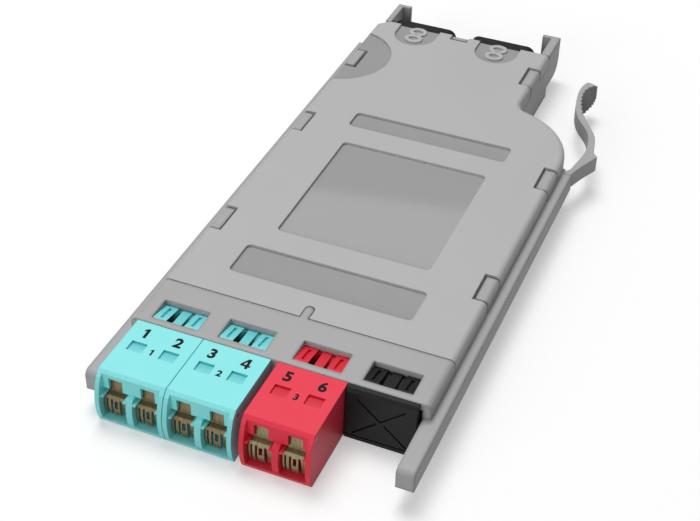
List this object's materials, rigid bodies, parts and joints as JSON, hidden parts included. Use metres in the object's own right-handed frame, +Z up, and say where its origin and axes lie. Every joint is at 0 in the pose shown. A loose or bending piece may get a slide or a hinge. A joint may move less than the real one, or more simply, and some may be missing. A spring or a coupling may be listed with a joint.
{
  "type": "fibre tap module",
  "caption": "Flat optical tap cassette with shuttered duplex adapters at the front, multi-fibre adapters at the rear, side rails and a release lever.",
  "frame": {"origin": "centre of the housing's underside, on the floor plane, halfway along the shell without adapters and posts", "axes": "+X to the right seen from the front ports, +Y to the rear, +Z up through the cover"},
  "size_m": [0.0644, 0.1439, 0.0109],
  "materials": {
    "grey_shell": "satin moulded",
    "aqua_plastic": "satin moulded",
    "red_plastic": "satin moulded",
    "black_plastic": "satin moulded",
    "plug_plastic": "satin moulded",
    "ceramic": "polished",
    "bronze_leaf": "stamped sheet",
    "bronze_leaf_green": "stamped sheet",
    "splitter_steel": "drawn tube",
    "fibre_jacket": "buffered fibre",
    "tap_jacket": "buffered fibre"
  },
  "bodies": {
    "housing": {"base_tray": "grey_shell", "cover": "grey_shell", "slot_blank": "black_plastic", "splitter_clamp": "black_plastic", "live_legs": "fibre_jacket", "tap_legs": "tap_jacket", "front_adapter_1": "aqua_plastic", "adapter_rear_1": "aqua_plastic", "sleeve_holder_1": "black_plastic", "front_adapter_2": "aqua_plastic", "adapter_rear_2": "aqua_plastic", "sleeve_holder_2": "black_plastic", "front_adapter_3": "red_plastic", "adapter_rear_3": "red_plastic", "sleeve_holder_3": "black_plastic", "sleeve_1": "ceramic", "inner_plug_1": "plug_plastic", "ferrule_1": "ceramic", "fibre_1": "fibre_jacket", "sleeve_2": "ceramic", "inner_plug_2": "plug_plastic", "ferrule_2": "ceramic", "fibre_2": "fibre_jacket", "sleeve_3": "ceramic", "inner_plug_3": "plug_plastic", "ferrule_3": "ceramic", "fibre_3": "fibre_jacket", "sleeve_4": "ceramic", "inner_plug_4": "plug_plastic", "ferrule_4": "ceramic", "fibre_4": "fibre_jacket", "sleeve_5": "ceramic", "inner_plug_5": "plug_plastic", "ferrule_5": "ceramic", "fibre_5": "tap_jacket", "sleeve_6": "ceramic", "inner_plug_6": "plug_plastic", "ferrule_6": "ceramic", "fibre_6": "tap_jacket", "rear_adapter_left": "black_plastic", "rear_plug_left": "plug_plastic", "rear_ferrule_left": "black_plastic", "rear_adapter_right": "black_plastic", "rear_plug_right": "plug_plastic", "rear_ferrule_right": "black_plastic", "splitter_1": "splitter_steel", "splitter_2": "splitter_steel", "splitter_3": "splitter_steel", "splitter_4": "splitter_steel"},
    "lever": {"release_lever": "grey_shell"},
    "shutter_leaf_1": {"shutter_1": "bronze_leaf"},
    "shutter_leaf_2": {"shutter_2": "bronze_leaf"},
    "shutter_leaf_3": {"shutter_3": "bronze_leaf"},
    "shutter_leaf_4": {"shutter_4": "bronze_leaf"},
    "shutter_leaf_5": {"shutter_5": "bronze_leaf_green"},
    "shutter_leaf_6": {"shutter_6": "bronze_leaf_green"}
  },
  "joints": [
    {"name": "lever_press", "type": "hinge", "parent": "housing", "child": "lever", "pos_m": [0.02975, 0.02, 0.0063], "axis": [0, 0, 1], "range_deg": [0, 14], "stiffness_Nm_per_rad": 0.2},
    {"name": "shutter_swing_1", "type": "hinge", "parent": "housing", "child": "shutter_leaf_1", "pos_m": [-0.02368, -0.07237, 0.0091], "axis": [1, 0, 0], "range_deg": [0, 85], "stiffness_Nm_per_rad": 0.0002},
    {"name": "shutter_swing_2", "type": "hinge", "parent": "housing", "child": "shutter_leaf_2", "pos_m": [-0.01742, -0.07237, 0.0091], "axis": [1, 0, 0], "range_deg": [0, 85], "stiffness_Nm_per_rad": 0.0002},
    {"name": "shutter_swing_3", "type": "hinge", "parent": "housing", "child": "shutter_leaf_3", "pos_m": [-0.01052, -0.07237, 0.0091], "axis": [1, 0, 0], "range_deg": [0, 85], "stiffness_Nm_per_rad": 0.0002},
    {"name": "shutter_swing_4", "type": "hinge", "parent": "housing", "child": "shutter_leaf_4", "pos_m": [-0.00428, -0.07237, 0.0091], "axis": [1, 0, 0], "range_deg": [0, 85], "stiffness_Nm_per_rad": 0.0002},
    {"name": "shutter_swing_5", "type": "hinge", "parent": "housing", "child": "shutter_leaf_5", "pos_m": [0.00387, -0.07237, 0.0091], "axis": [1, 0, 0], "range_deg": [0, 85], "stiffness_Nm_per_rad": 0.0002},
    {"name": "shutter_swing_6", "type": "hinge", "parent": "housing", "child": "shutter_leaf_6", "pos_m": [0.01013, -0.07237, 0.0091], "axis": [1, 0, 0], "range_deg": [0, 85], "stiffness_Nm_per_rad": 0.0002}
  ]
}
